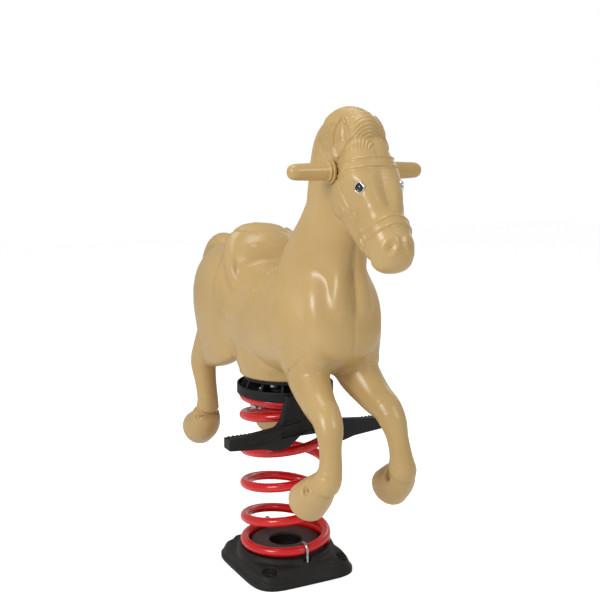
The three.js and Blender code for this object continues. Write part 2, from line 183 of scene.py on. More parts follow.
plastics = {  # light and dark shade, roughness from and to, grain size per metre, grain strength
    "horsePlastic": {"shades": [(0.575, 0.392, 0.163), (0.51, 0.338, 0.13)], "rough": (0.25, 0.35), "grain": 1500,
                     "strength": 0.1},
    "gripPlastic": {"shades": [(0.57, 0.385, 0.15), (0.52, 0.345, 0.128)], "rough": (0.24, 0.34), "grain": 1500,
                    "strength": 0.12},
    "baseBlack": {"shades": [(0.020, 0.0195, 0.018), (0.012, 0.0115, 0.011)], "rough": (0.42, 0.62), "grain": 900,
                  "strength": 0.5, "shine": 0.22},
    # a browner grey, given to the top of the hub inside the spring
    "hubBrownGrey": {"shades": [(0.078, 0.062, 0.056), (0.055, 0.043, 0.04)], "rough": (0.45, 0.6), "grain": 900,
                   "strength": 0.3, "shine": 0.25},
    "bracketBlack": {"shades": [(0.018, 0.018, 0.0185), (0.010, 0.010, 0.0105)], "rough": (0.38, 0.58), "grain": 700,
                     "strength": 0.6, "shine": 0.22},
}


def makePlastic(name, p):
    finish = newFinish(name)
    patches = finish.ramp(finish.noise(9, 4), 0.35, 0.68)
    speckle = finish.noise(p["grain"] * 0.4, 2)
    shade = finish.mix(patches * 0.7 + speckle * 0.3, *p["shades"])
    low, high = p["rough"]
    rough = low + (high - low) * (0.6 * finish.noise(35, 5) + 0.4 * patches)
    waves = finish.bump(finish.noise(28, 1), 0.2, 0.001)
    grain = finish.bump(finish.noise(p["grain"], 2), p["strength"], 0.0002, waves)
    return finish.surface({"Base Color": shade, "Roughness": rough, "Normal": grain,
                           "Specular IOR Level": p.get("shine", 0.5)})


def makeSpringPaint():
    finish = newFinish("springRed")
    patches = finish.ramp(finish.noise(14, 4), 0.3, 0.7)
    shade = finish.mix(patches, (0.72, 0.006, 0.008), (0.60, 0.004, 0.006))
    rough = 0.16 + 0.12 * finish.noise(60, 5)
    peel = finish.bump(finish.noise(240, 2), 0.2, 0.0004)
    return finish.surface({"Base Color": shade, "Roughness": rough, "Coat Weight": 0.35, "Coat Roughness": 0.12,
                           "Normal": peel})


def makeMetal(name, shades, low, high, grain):
    finish = newFinish(name)
    patches = finish.ramp(finish.noise(grain, 4), 0.3, 0.7)
    rough = low + (high - low) * patches
    scratch = finish.bump(finish.noise(grain * 6, 3), 0.15, 0.0002)
    return finish.surface({"Base Color": finish.mix(patches, *shades), "Metallic": 1.0, "Roughness": rough,
                           "Normal": scratch})


def makePupil():
    finish = newFinish("pupilBlack")
    rough = 0.05 + 0.08 * finish.noise(300, 3)
    shade = finish.mix(finish.noise(200, 2), (0.006, 0.006, 0.007), (0.012, 0.012, 0.012))
    return finish.surface({"Base Color": shade, "Roughness": rough, "Coat Weight": 0.6, "Coat Roughness": 0.05})


finishes = {name: makePlastic(name, p) for name, p in plastics.items()}
finishes["springRed"] = makeSpringPaint()
finishes["zinc"] = makeMetal("zinc", [(0.62, 0.63, 0.64), (0.42, 0.43, 0.44)], 0.22, 0.42, 90)
finishes["eyeSilver"] = makeMetal("eyeSilver", [(0.86, 0.86, 0.87), (0.7, 0.7, 0.71)], 0.08, 0.16, 200)
finishes["pupilBlack"] = makePupil()
print("finishes ready")


# Shape tools: a shape tells, for points in metres, about how far outside it each one lies

farOff = 0.06  # no shape is asked for more distance than this
flatter = 3.0  # a form's slices reach this much less along it than across it


def smoothRows(stations, steps=6):
    rows = np.array(stations, float)
    rows = np.vstack([2 * rows[0] - rows[1], rows, 2 * rows[-1] - rows[-2]])
    made = []
    for a, b, c, d in zip(rows, rows[1:], rows[2:], rows[3:]):
        for t in np.arange(steps) / steps:
            made.append(b + 0.5 * t * (c - a + t * (2 * a - 5 * b + 4 * c - d + t * (3 * (b - c) + d - a))))
    return np.array(made + [rows[-2]])


def trimmed(rows, start, end, count):
    lengths = np.linalg.norm(np.diff(rows[:, :3], axis=0), axis=1)
    along = np.concatenate([[0], np.cumsum(lengths)])
    places = np.linspace(start, along[-1] - end, count)
    return np.stack([np.interp(places, along, column) for column in rows.T], axis=1)


# A rounded form along rows of [x, y, z, half depth, half width] in millimetres; a higher power makes it squarer
def limb(stations, power=2.0, caps=(30, 30), count=26):
    rows = smoothRows(stations) / 1000
    if rows.shape[1] == 4:
        rows = np.insert(rows, 1, 0, axis=1)
    caps = np.array(caps) / 1000
    rows = trimmed(rows, caps[0], caps[1], count)
    reach = farOff + rows[:, 3:].max()
    low, high = rows[:, :3].min(0) - reach, rows[:, :3].max(0) + reach

    def shape(points):
        out = np.full(len(points), farOff)
        near = np.all((points > low) & (points < high), axis=1)
        p = points[near]
        best = np.full(len(p), farOff)
        for i in range(count - 1):
            a, b = rows[i], rows[i + 1]
            run = b - a
            length = math.hypot(run[0], run[2])
            t = ((p[:, 0] - a[0]) * run[0] + (p[:, 2] - a[2]) * run[2]) / length ** 2
            s = np.clip(t, 0, 1)
            depth, width = a[3] + run[3] * s, a[4] + run[4] * s
            m = (p[:, 0] - a[0] - run[0] * s) ** 2 + (p[:, 2] - a[2] - run[2] * s) ** 2
            before = depth / caps[0] if i == 0 else flatter  # how much flatter than round the form ends here
            after = depth / caps[1] if i == count - 2 else flatter
            m += np.where(t < 0, (t * length) ** 2 * (before ** 2 - 1), 0)
            m += np.where(t > 1, ((t - 1) * length) ** 2 * (after ** 2 - 1), 0)
            m = np.sqrt(m)
            side = np.abs(p[:, 1] - a[1] - run[1] * s)
            if power == 2:
                g = np.sqrt((m / depth) ** 2 + (side / width) ** 2)
            else:
                g = ((m / depth) ** power + (side / width) ** power) ** (1 / power)
            best = np.minimum(best, np.hypot(m, side) * (1 - 1 / np.maximum(g, 0.02)))
        out[near] = best
        return out
    return shape


def toLine(points, line):  # distance from a line of points, and the share of its length at the nearest place
    best, along = np.full(len(points), 1.0), np.zeros(len(points))
    for i, (a, b) in enumerate(zip(line, line[1:])):
        run = b - a
        t = np.clip((points - a) @ run / max(run @ run, 1e-12), 0, 1)
        distance = np.linalg.norm(points - a - t[:, None] * run, axis=1)
        closer = distance < best
        best[closer] = distance[closer]
        along[closer] = (i + t[closer]) / (len(line) - 1)
    return best, along


def roll(stations, count=30):  # a round roll along rows of [x, y, z, radius] in millimetres
    rows = trimmed(smoothRows(stations) / 1000, 0, 0, count)

    def shape(points):
        out = np.full(len(points), farOff)
        near = np.all((points > rows[:, :3].min(0) - farOff) & (points < rows[:, :3].max(0) + farOff), axis=1)
        distance, along = toLine(points[near], rows[:, :3])
        out[near] = distance - np.interp(along, np.linspace(0, 1, count), rows[:, 3])
        return out
    return shape


def ball(centre, radii):
    centre, radii = np.array(centre) / 1000, np.array(radii) / 1000

    def shape(points):
        p = (points - centre)
        g = np.linalg.norm(p / radii, axis=1)
        return np.linalg.norm(p, axis=1) * (1 - 1 / np.maximum(g, 0.02))
    return shape


def join(a, b, k):  # two forms as one, melted together over about k
    h = np.clip(0.5 + 0.5 * (b - a) / k, 0, 1)
    return b + (a - b) * h - k * h * (1 - h)


def carve(a, b, k):  # the first form with the second cut out
    return -join(-a, b, k)


def step(value, low, high):  # rises smoothly from 0 to 1
    t = np.clip((value - low) / (high - low), 0, 1)
    return t * t * (3 - 2 * t)


# Points and four-sided faces of a shape's skin, on a grid of that size: only blocks near the skin are worked out
def surfaceOf(shape, low, high, size, block=6):
    low, high = np.array(low), np.array(high)
    blocks = np.ceil((high - low) / (size * block)).astype(int)
    counts = blocks * block + 1
    middles = low + (np.indices(blocks).reshape(3, -1).T + 0.5) * size * block
    rough = np.concatenate([shape(part) for part in np.array_split(middles, len(middles) // 200000 + 1)])
    values = np.full(counts, farOff)
    signs = np.where(rough < 0, -farOff, farOff).reshape(blocks)
    for axis in range(3):
        signs = np.repeat(signs, block, axis=axis)
    values[:-1, :-1, :-1] = signs
    wanted = np.zeros(counts, bool)
    close = np.abs(rough).reshape(blocks) < size * block * 1.8
    for i, j, k in np.argwhere(close) * block:
        wanted[i:i + block + 1, j:j + block + 1, k:k + block + 1] = True
    at = np.argwhere(wanted)
    parts = np.array_split(at, len(at) // 200000 + 1)
    values[wanted] = np.concatenate([shape(low + part * size) for part in parts])
    inside = values < 0
    cut = [slice(0, -1), slice(1, None)]
    total = sum(inside[cut[i], cut[j], cut[k]].astype(np.int8) for i, j, k in itertools.product((0, 1), repeat=3))
    cells = np.argwhere((total > 0) & (total < 8))
    number = np.full(total.shape, -1)
    number[tuple(cells.T)] = np.arange(len(cells))
    added, hits = np.zeros((len(cells), 3)), np.zeros(len(cells))
    units = np.eye(3, dtype=int)
    for axis in range(3):
        for i, j in itertools.product((0, 1), repeat=2):
            start = cells + i * units[axis - 1] + j * units[axis - 2]
            a, b = values[tuple(start.T)], values[tuple((start + units[axis]).T)]
            crossed = (a < 0) != (b < 0)
            t = a[crossed] / (a[crossed] - b[crossed])
            added[crossed] += start[crossed] + units[axis] * t[:, None]
            hits[crossed] += 1
    points = low + added / hits[:, None] * size
    faces = []
    for axis in range(3):
        change = np.diff(inside.astype(np.int8), axis=axis)
        at = np.argwhere(change != 0)
        first, second = units[(axis + 1) % 3], units[(axis + 2) % 3]
        corners = [at, at - first, at - first - second, at - second]
        quads = np.stack([number[tuple(c.T)] for c in corners], axis=1)
        backward = change[tuple(at.T)] > 0
        quads[backward] = quads[backward][:, ::-1]
        faces.append(quads)
    return points, np.concatenate(faces)


def slopeOf(shape, points, reach=0.0006):  # a shape's value at some points, and which way it grows
    here = shape(points)
    steps = [shape(points + reach * unit) - here for unit in np.eye(3)]
    return here, np.stack(steps, axis=1) / reach


def settle(shape, points, rounds=2, longest=0.004):  # moves points on to a shape's skin
    for _ in range(rounds):
        here, slope = slopeOf(shape, points)
        move = -slope * (here / np.maximum((slope ** 2).sum(1), 0.3))[:, None]
        far = np.linalg.norm(move, axis=1)[:, None]
        points = points + move * np.minimum(1, longest / np.maximum(far, 1e-9))
    return points


def relaxed(points, faces, rounds=2):  # evens out the spacing of the points
    a, b = faces.ravel(), np.roll(faces, -1, axis=1).ravel()
    degree = np.bincount(a, minlength=len(points)) + np.bincount(b, minlength=len(points))
    for _ in range(rounds):
        total = np.stack([np.bincount(a, points[b, i], len(points)) + np.bincount(b, points[a, i], len(points))
                          for i in range(3)], axis=1)
        points = points + 0.5 * (total / degree[:, None] - points)
    return points


def meshOf(points, faces):
    mesh = bpy.data.meshes.new("skin")
    mesh.from_pydata(points.tolist(), [], faces if isinstance(faces, list) else faces.tolist())
    mesh.update()
    return mesh


def pointsOf(mesh):
    flat = np.zeros(len(mesh.vertices) * 3)
    mesh.vertices.foreach_get("co", flat)
    return flat.reshape(-1, 3)


def refine(mesh, zone):  # halves the edges whose ends both lie in the zone
    made = bmesh.new()
    made.from_mesh(mesh)
    made.verts.ensure_lookup_table()
    chosen = zone(pointsOf(mesh))
    edges = [e for e in made.edges if chosen[e.verts[0].index] and chosen[e.verts[1].index]]
    bmesh.ops.subdivide_edges(made, edges=edges, cuts=1, use_grid_fill=True)
    made.to_mesh(mesh)
    made.free()


def piece(name, mesh, finish, body, replaced=()):
    made = bpy.data.objects.new(name, mesh)
    bpy.context.collection.objects.link(made)
    mesh.materials.append(finishes[finish])
    mesh.polygons.foreach_set("use_smooth", [True] * len(mesh.polygons))
    if body:
        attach(made, body)
    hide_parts(*replaced)
    return made


def moulded(name, shape, low, high, size, finish, body, replaced=(), zones=(), relief=None):
    points, faces = surfaceOf(shape, low, high, size)
    points = settle(shape, relaxed(settle(shape, points, 1), faces), 2)
    mesh = meshOf(points, faces)
    for zone in zones:
        refine(mesh, zone)
        points = settle(shape, pointsOf(mesh), 2)
        mesh.vertices.foreach_set("co", points.ravel())
    if relief:
        _, slope = slopeOf(shape, points)
        slope /= np.maximum(np.linalg.norm(slope, axis=1), 1e-6)[:, None]
        points = points + slope * relief(points)[:, None]
    mesh.vertices.foreach_set("co", points.ravel())
    mesh.update()
    print(name, "has", len(mesh.polygons), "faces")
    return piece(name, mesh, finish, body, replaced)


# Horse, in millimetres. Each form has its rows of [x, z, half depth, half width], or [x, y, z, half depth, half width]
# on the left side, then how square it is, the lengths of its rounded ends and its number of slices

horse = {
    "torso": ([[-318, 588, 76, 66], [-262, 582, 114, 104], [-180, 578, 132, 120], [-80, 566, 116, 118],
        [10, 562, 108, 116], [100, 572, 114, 114], [176, 588, 114, 106], [238, 606, 100, 84], [284, 622, 68, 52]],
        2.4, (45, 45), 64),
    "neck": ([[152, 610, 124, 98], [170, 680, 103, 80], [206, 750, 84, 64], [234, 820, 76, 50], [254, 885, 74, 48],
        [268, 935, 60, 43]], 2.0, (60, 40)),
    "throat": ([[254, 10, 790, 22, 18], [257, 13, 742, 24, 20], [262, 15, 690, 26, 22], [270, 20, 640, 26, 26],
        [270, 26, 590, 30, 28]], 2.0, (24, 30), 20),
    "head": ([[268, 920, 64, 45], [296, 880, 76, 48], [332, 826, 65, 42], [372, 776, 49, 36], [394, 746, 40, 34]],
        3.0, (40, 20)),
    "muzzle": ([[370, 800, 38, 28], [396, 770, 46, 41], [416, 740, 40, 38], [420, 702, 28, 30]], 2.2, (26, 26), 14),
    "cheek": ([[300, 872, 44, 46], [314, 840, 56, 50], [326, 796, 50, 45]], 3.4, (26, 22), 14),
    "brow": ([[326, 29, 886, 20, 20], [350, 32, 872, 20, 20], [374, 27, 842, 18, 19], [393, 15, 806, 17, 17]],
        2.0, (18, 14), 16),
    "forelock": ([[218, 930, 40, 40], [258, 940, 54, 46], [306, 938, 49, 40], [338, 924, 31, 29]], 2.0, (30, 26), 16),
    "crest": ([[240, 965, 22, 22], [190, 935, 26, 24], [162, 880, 24, 22], [146, 810, 24, 20], [126, 745, 20, 18]],
        2.0, (18, 18), 20),
    "tail": ([[-268, 662, 22, 24], [-328, 682, 30, 32], [-372, 650, 30, 34], [-382, 606, 26, 30], [-362, 566, 16, 20]],
        2.0, (18, 18), 20),
    "cantle": ([[-96, 590, 90, 116], [-100, 672, 68, 94], [-118, 712, 44, 70], [-138, 744, 18, 46]],
        2.0, (20, 12), 44),
    "haunch": ([[-214, 66, 640, 60, 46], [-192, 78, 570, 80, 42], [-160, 86, 510, 92, 36], [-134, 90, 466, 86, 28],
        [-131, 91, 434, 64, 20]], 2.2, (40, 24), 18),
    "shoulder": ([[150, 52, 650, 60, 50], [186, 62, 580, 66, 46], [204, 56, 510, 58, 42], [212, 54, 478, 44, 36]],
        2.0, (40, 26), 14),
}
cantleRim = [[-146, 0, 740, 11], [-138, 34, 736, 11], [-120, 62, 722, 11], [-102, 81, 699, 10], [-76, 92, 668, 9],
             [-48, 99, 642, 7], [-24, 100, 626, 5]]  # x, y, z, radius
melt = {  # how far each form melts into the rest
    "haunch": 14, "shoulder": 14, "throat": 22, "neck": 18, "tail": 8, "cantleRim": 12, "cantle": 14, "boss": 8,
    "cheek": 12, "muzzle": 18, "brow": 22, "eyeSocket": 10, "forelock": 8, "crest": 10, "head": 6, "hoof": 7, "leg": 16,
}
boss = {"radius": 99, "bottom": 437, "top": 500, "edge": 6, "flareFrom": 9, "flareHeight": 20, "flare": 0.35}
eyeSocket = {"centre": (384, 59, 853), "radii": (19, 13, 17)}
bellyHole = {"radius": 40, "top": 478, "edge": 1}
barHole = {"at": (293, 878), "radius": 11.3, "edge": 0.5, "seat": 24.5, "seatFrom": 51.7, "seatEdge": 1.5}
bodyStep = 4.8  # grid size
legStep = 2.6

frontLeg = {
    "line": ([[172, 50, 545, 66, 42], [206, 54, 484, 52, 40], [262, 62, 441, 36, 33], [304, 67, 421, 29, 29],
        [324, 70, 398, 25, 26], [334, 74, 368, 20, 21], [341, 78, 335, 21, 22], [338, 84, 308, 28, 27],
        [326, 88, 290, 26, 26]], 2.0, (30, 14), 34),
    "hoof": ([[332, 88, 304, 25, 27], [308, 92, 276, 35, 36], [276, 93, 248, 40, 40]], 2.0, (14, 6), 10),
    "hole": (322, 289),
    "seam": [(215, 500), (262, 441)],  # the cut lies across this run, at its first point
    "low": (80, -6, 200),
    "high": (390, 160, 660),
}
hindLeg = {
    "line": ([[-190, 80, 500, 54, 40], [-222, 86, 460, 42, 34], [-240, 92, 422, 32, 30], [-226, 94, 380, 24, 25],
        [-215, 94, 340, 23, 24], [-218, 94, 306, 28, 28]], 2.0, (30, 14), 28),
    "hoof": ([[-218, 94, 312, 28, 29], [-240, 94, 276, 38, 38], [-278, 94, 252, 41, 41]], 2.0, (14, 6), 10),
    "hole": (-212, 298),
    "low": (-360, 10, 180),
    "high": (-80, 165, 620),
}
hoofHole = {"radius": 3.5, "edge": 1, "dish": 7.5, "dishTall": 1.6, "dishUp": 4, "dishFrom": 24, "dishEdge": 3}
seamGap = {"overlap": 0.4, "reach": 19, "width": 0.6, "depth": 20, "edge": 1.2, "fromMiddle": 1.5}

form = {name: limb(*made) for name, made in horse.items()}
rimRoll = roll(cantleRim)
socketBall = ball(eyeSocket["centre"], eyeSocket["radii"])
frontLine, frontHoof = limb(*frontLeg["line"]), limb(*frontLeg["hoof"])
hindLine, hindHoof = limb(*hindLeg["line"]), limb(*hindLeg["hoof"])


def leftSide(points):
    p = points.copy()
    p[:, 1] = np.abs(p[:, 1])
    return p


def melted(body, part, name):
    return join(body, part, melt[name] / 1000)


def bossShape(p):
    b = boss
    flare = np.clip(p[:, 2] - (b["bottom"] + b["flareFrom"]) / 1000, 0, b["flareHeight"] / 1000)
    across = np.hypot(p[:, 0], p[:, 1]) - b["radius"] / 1000 - b["flare"] * flare
    down = b["bottom"] / 1000 - p[:, 2]
    edge = b["edge"] / 1000
    corner = np.hypot(np.maximum(across + edge, 0), np.maximum(down + edge, 0)) - edge
    return np.maximum(np.maximum(corner, np.maximum(across, down)), p[:, 2] - b["top"] / 1000)


def trunk(points):
    p = leftSide(points)
    body = form["torso"](p)
    for name in ("haunch", "shoulder"):
        body = melted(body, form[name](p), name)
    body = melted(body, melted(form["neck"](p), form["throat"](p), "throat"), "neck")
    body = melted(body, form["tail"](p), "tail")
    body = melted(body, melted(form["cantle"](p), rimRoll(p), "cantleRim"), "cantle")
    body = melted(body, bossShape(p), "boss")
    top = form["head"](p)
    for name in ("cheek", "muzzle", "brow"):
        top = melted(top, form[name](p), name)
    top = carve(top, socketBall(p), melt["eyeSocket"] / 1000)
    top = melted(top, form["forelock"](p), "forelock")
    return melted(melted(body, form["crest"](p), "crest"), top, "head")


def horseBody(points):
    p = leftSide(points)
    hole = np.hypot(p[:, 0], p[:, 1]) - bellyHole["radius"] / 1000
    body = carve(trunk(points), np.maximum(hole, p[:, 2] - bellyHole["top"] / 1000), bellyHole["edge"] / 1000)
    h = barHole
    around = np.hypot(p[:, 0] - h["at"][0] / 1000, p[:, 2] - h["at"][1] / 1000)
    seat = np.maximum(around - h["seat"] / 1000, h["seatFrom"] / 1000 - p[:, 1])  # for the collar of the grip
    return carve(carve(body, seat, h["seatEdge"] / 1000), around - h["radius"] / 1000, h["edge"] / 1000)


def pastSeam(p):
    a, b = np.array(frontLeg["seam"]) / 1000
    run = (b - a) / np.linalg.norm(b - a)
    return (p[:, 0] - a[0]) * run[0] + (p[:, 2] - a[1]) * run[1]


def hoofCuts(leg, p, values):
    h = hoofHole
    x, z = p[:, 0] - values["hole"][0] / 1000, p[:, 2] - values["hole"][1] / 1000
    leg = carve(leg, np.hypot(x, z) - h["radius"] / 1000, h["edge"] / 1000)
    fromMiddle = np.abs(p[:, 1] - values["hoof"][0][1][1] / 1000)
    dish = np.hypot(x, (z - h["dishUp"] / 1000) / h["dishTall"]) - h["dish"] / 1000
    return carve(leg, np.maximum(dish, h["dishFrom"] / 1000 - fromMiddle), h["dishEdge"] / 1000)


def frontPiece(points):  # the leg with the skin of the body round its top, as far as the leg's own form reaches
    p = leftSide(points)
    g = seamGap
    line, hoof, body = frontLine(p), frontHoof(p), trunk(points)
    leg = melted(body, melted(line, hoof, "hoof"), "leg") - g["overlap"] / 1000
    leg = np.maximum(leg, np.minimum(line, hoof) - g["reach"] / 1000)
    crease = np.hypot(pastSeam(p), np.maximum(np.abs(body) - g["depth"] / 1000, 0)) - g["width"] / 1000
    leg = carve(leg, crease, g["edge"] / 1000)
    leg = np.maximum(leg, g["fromMiddle"] / 1000 - points[:, 1])
    return hoofCuts(leg, p, frontLeg)


def hindPiece(points):
    p = leftSide(points)
    return hoofCuts(melted(hindLine(p), hindHoof(p), "hoof"), p, hindLeg)


# Relief on the horse

def laidOn(shape, stations, count=40):
    rows = smoothRows(np.array(stations) / 1000, 8)
    return settle(shape, trimmed(rows, 0, 0, count), 4, 0.01)


bridle = {
    "straps": {
        "browband": {"half": (8.5, 8.5), "line": [[308, 58, 878], [332, 50, 886], [358, 41, 893], [369, 20, 897],
                                                  [371, 0, 898.5]]},
        "cheekStrap": {"half": (9.0, 5.0), "line": [[302, 54, 856], [322, 52, 834], [338, 48, 814], [354, 44, 796],
                                                    [378, 42, 777]]},
        "noseband": {"half": (6.0, 8.0), "line": [[398, 44, 767], [412, 42, 774], [420, 34, 783], [427, 20, 793],
                                                  [430, 0, 799]]},
        "chinStrap": {"half": (5.0, 5.0), "line": [[388, 42, 748], [386, 30, 738], [384, 14, 732], [384, 0, 730]]},
    },
    "bead": 1.7,  # half width of a raised line
    "height": 2.8,
    "band": 0.7,  # height of a strap between its lines
    "ring": {"at": (391, 43, 763), "half": (8.0, 12.0), "lean": 20, "inside": 0.2},
}
ear = {"bottom": (313, 902), "top": (300, 976), "half": 23.0, "height": 5.0, "rim": 1.8, "hollow": 4.5, "fold": 2.0}
fringe = {"foot": 905, "front": 335, "from": 22, "to": 84, "wide": 1.5, "pitch": 7.0, "height": 2.2}
mane = {"pitch": 12.0, "height": 3.4, "wave": 2.4,
        "levels": [[740, 0], [760, 26], [800, 46], [860, 74], [900, 82], [990, 90]]}  # height, width
saddle = {"centre": (-22, 700), "half": (98, 140), "power": 2.6, "height": 4.0, "rim": 2.2, "from": 520, "to": 735}
tailLines = {"pitch": 7.0, "height": 2.2}
nostril = {"at": (452, 21, 752), "half": (6.5, 10.0), "depth": 4.5, "rise": 2.2}
chestCrease = {"depth": 2.2, "half": 3}
fringeParting = {"depth": 1.2, "half": 1.6}


def bead(distance, half):
    return np.exp(-(distance / half) ** 2)


def strapRelief(p, line, halves):
    raised = np.zeros(len(p))
    close = np.all((p > line.min(0) - 0.02) & (p < line.max(0) + 0.02), axis=1)
    distance, along = toLine(p[close], line)
    out = distance * 1000 - halves[0] - (halves[1] - halves[0]) * along
    raised[close] = np.maximum(bridle["height"] * bead(out, bridle["bead"]), bridle["band"] * (1 - step(out, -1, 1)))
    return raised


def middleOf(name, count):
    rows = smoothRows(horse[name][0])[:, :2]
    return trimmed(np.insert(rows, 1, 0, axis=1) / 1000, 0, 0, count)


straps = {name: laidOn(trunk, strap["line"]) for name, strap in bridle["straps"].items()}
crestMiddle = middleOf("crest", 30)
tailMiddle = middleOf("tail", 20)


def ringPlace(p):  # 1 on the ring's oval
    ring = bridle["ring"]
    lean = math.radians(ring["lean"])
    x, z = p[:, 0] * 1000 - ring["at"][0], p[:, 2] * 1000 - ring["at"][2]
    u = (x * math.cos(lean) + z * math.sin(lean)) / ring["half"][0]
    v = (-x * math.sin(lean) + z * math.cos(lean)) / ring["half"][1]
    return np.where(p[:, 1] > 0.015, np.hypot(u, v), 9)


def bridleRelief(p):
    total = np.zeros(len(p))
    for name, line in straps.items():
        total = np.maximum(total, strapRelief(p, line, bridle["straps"][name]["half"]))
    g = ringPlace(p)
    total = np.where(g < 1, bridle["ring"]["inside"], total)
    return np.maximum(total, bridle["height"] * 1.2 * bead((g - 1) * 10, bridle["bead"]))


def earEdge(p):  # how far inside the ear's outline, and how far across it
    a, b = np.array(ear["bottom"]), np.array(ear["top"])
    run = b - a
    length = np.linalg.norm(run)
    x, z = p[:, 0] * 1000 - a[0], p[:, 2] * 1000 - a[1]
    s = (x * run[0] + z * run[1]) / length ** 2
    t = (x * run[1] - z * run[0]) / length
    half = ear["half"] * np.sin(math.pi * np.clip(s, 0.001, 0.999) ** 0.85) ** 0.75
    inside = half - np.abs(t)
    outside = -np.hypot(t, length * np.maximum(-s, s - 1))
    return np.where((s > 0) & (s < 1), inside, outside), t


def earRelief(p):
    edge, t = earEdge(p)
    raised = ear["height"] * step(edge, -2.5, 2) + ear["rim"] * bead(edge - 2.5, 1.8)
    raised -= ear["hollow"] * step(edge, 3.5, 10)
    raised += ear["fold"] * bead(t - 3, 3) * step(edge, 4, 10)
    return raised * step(p[:, 1], 0.012, 0.02)


def fringeReach(p):
    q = p * 1000
    back = np.maximum(fringe["front"] - q[:, 0], 0)
    return np.sqrt((fringe["wide"] * q[:, 1]) ** 2 + (q[:, 2] - fringe["foot"]) ** 2 + back ** 2)


def fringeMask(p):
    q = p * 1000
    r = fringeReach(p)
    mask = step(r, fringe["from"] - 4, fringe["from"]) * (1 - step(r, fringe["to"] - 10, fringe["to"]))
    earFront = 340 - 0.12 * (q[:, 2] - 900) - 0.5 * (38 - q[:, 1])
    return mask * step(q[:, 0], earFront - 5, earFront + 3) * step(q[:, 2], 914, 922)


def fringeRelief(p):
    waves = np.abs(np.sin(math.pi * fringeReach(p) / fringe["pitch"])) ** 0.7
    return fringeMask(p) * fringe["height"] * (waves - 0.5)


def maneReach(p):  # how far forward of the crest, and how wide the mane is there
    q = p * 1000
    crestX = np.interp(q[:, 2], crestMiddle[::-1, 2] * 1000, crestMiddle[::-1, 0] * 1000)
    levels = np.array(mane["levels"], float)
    return q[:, 0] - crestX, np.interp(q[:, 2], levels[:, 0], levels[:, 1])


def maneRelief(p):
    q = p * 1000
    forward, wide = maneReach(p)
    sway = np.sin(q[:, 2] / 26) + 0.5 * np.sin(q[:, 2] / 9 + 1)
    across = np.abs(q[:, 1]) + np.maximum(forward, 0) + mane["wave"] * sway
    waves = np.abs(np.sin(math.pi * across / mane["pitch"])) ** 0.6
    edge, _ = earEdge(p)
    mask = (1 - step(forward, wide - 12, wide + 2)) * (1 - step(edge, -8, -3)) * (1 - fringeMask(p))
    return mask * mane["height"] * (waves - 0.6)


def saddleRelief(p):
    q = p * 1000
    u = (q[:, 0] - saddle["centre"][0]) / saddle["half"][0]
    v = (q[:, 2] - saddle["centre"][1]) / saddle["half"][1]
    power = saddle["power"]
    edge = (1 - (np.abs(u) ** power + np.abs(v) ** power) ** (1 / power)) * 100
    onBarrel = (q[:, 2] < saddle["to"]) & (q[:, 2] > saddle["from"]) & (np.abs(u) < 1.2)
    raised = saddle["height"] * step(edge, -2, 3) + saddle["rim"] * bead(edge - 4, 3)
    return np.where(onBarrel, raised, 0)


def tailRelief(p):
    q = p * 1000
    distance, along = toLine(p, tailMiddle)
    waves = np.abs(np.sin(math.pi * (q[:, 1] + 1.2 * np.sin(along * 9)) / tailLines["pitch"])) ** 0.6
    mask = (1 - step(distance * 1000, 34, 42)) * (1 - step(q[:, 0], -300, -284)) * step(q[:, 2], 560, 590)
    return mask * tailLines["height"] * (waves - 0.6)


def noseRelief(p):
    n = nostril
    q = p * 1000 - n["at"]
    across = q[:, 1] + 0.3 * q[:, 2]
    r = np.hypot(across / n["half"][0], q[:, 2] / n["half"][1])
    onFront = step(p[:, 0] * 1000, 425, 435)
    return onFront * (n["rise"] * bead(r - 1.6, 0.7) - n["depth"] * bead(r, 0.8))


def creaseRelief(p):
    q = p * 1000
    chest = step(q[:, 0], 235, 262) * (1 - step(q[:, 0], 322, 330))
    chest *= (1 - step(q[:, 2], 745, 760)) * step(q[:, 2], 500, 530)
    parting = step(q[:, 2], 905, 910) * (1 - step(q[:, 2], 928, 934)) * step(q[:, 0], 318, 322)
    cut = chestCrease["depth"] * chest * bead(q[:, 1], chestCrease["half"])
    return -cut - fringeParting["depth"] * parting * bead(q[:, 1], fringeParting["half"])


def horseRelief(points):
    p = leftSide(points)
    total = np.zeros(len(p))
    upper = p[:, 2] > 0.69
    faceArea = upper & (p[:, 0] > 0.27)
    total[faceArea] += 0.001 * noseRelief(p[faceArea])
    total[faceArea] += 0.001 * bridleRelief(p[faceArea])
    crown = p[:, 2] > 0.885
    total[crown] += 0.001 * (earRelief(p[crown]) + fringeRelief(p[crown]))
    back = upper & (p[:, 0] > 0.05)
    total[back] += 0.001 * maneRelief(p[back])
    rear = p[:, 0] < -0.28
    total[rear] += 0.001 * tailRelief(p[rear])
    middle = (p[:, 0] > -0.2) & (p[:, 0] < 0.12)
    total[middle] += 0.001 * saddleRelief(p[middle])
    total += 0.001 * creaseRelief(p)
    return total


def detailZone(points):
    p = leftSide(points)
    face = (p[:, 2] > 0.725) & (p[:, 0] > 0.30)
    crown = (p[:, 2] > 0.86) & (p[:, 0] > 0.13)
    forward, wide = maneReach(p)
    onMane = (p[:, 2] > 0.74) & (forward < wide + 4)
    return face | crown | onMane | (toLine(p, tailMiddle)[0] < 0.045)


def fineZone(points):
    p = leftSide(points)
    head = p[:, 2] > 0.72
    near = np.zeros(len(p), bool)
    q = p[head]
    found = (np.abs(ringPlace(q) - 1) < 0.45) | (fringeMask(q) > 0.01) | (earEdge(q)[0] > -5)
    for name, line in straps.items():
        distance, along = toLine(q, line)
        halves = bridle["straps"][name]["half"]
        found |= np.abs(distance * 1000 - halves[0] - (halves[1] - halves[0]) * along) < 4.5
    near[head] = found
    return near


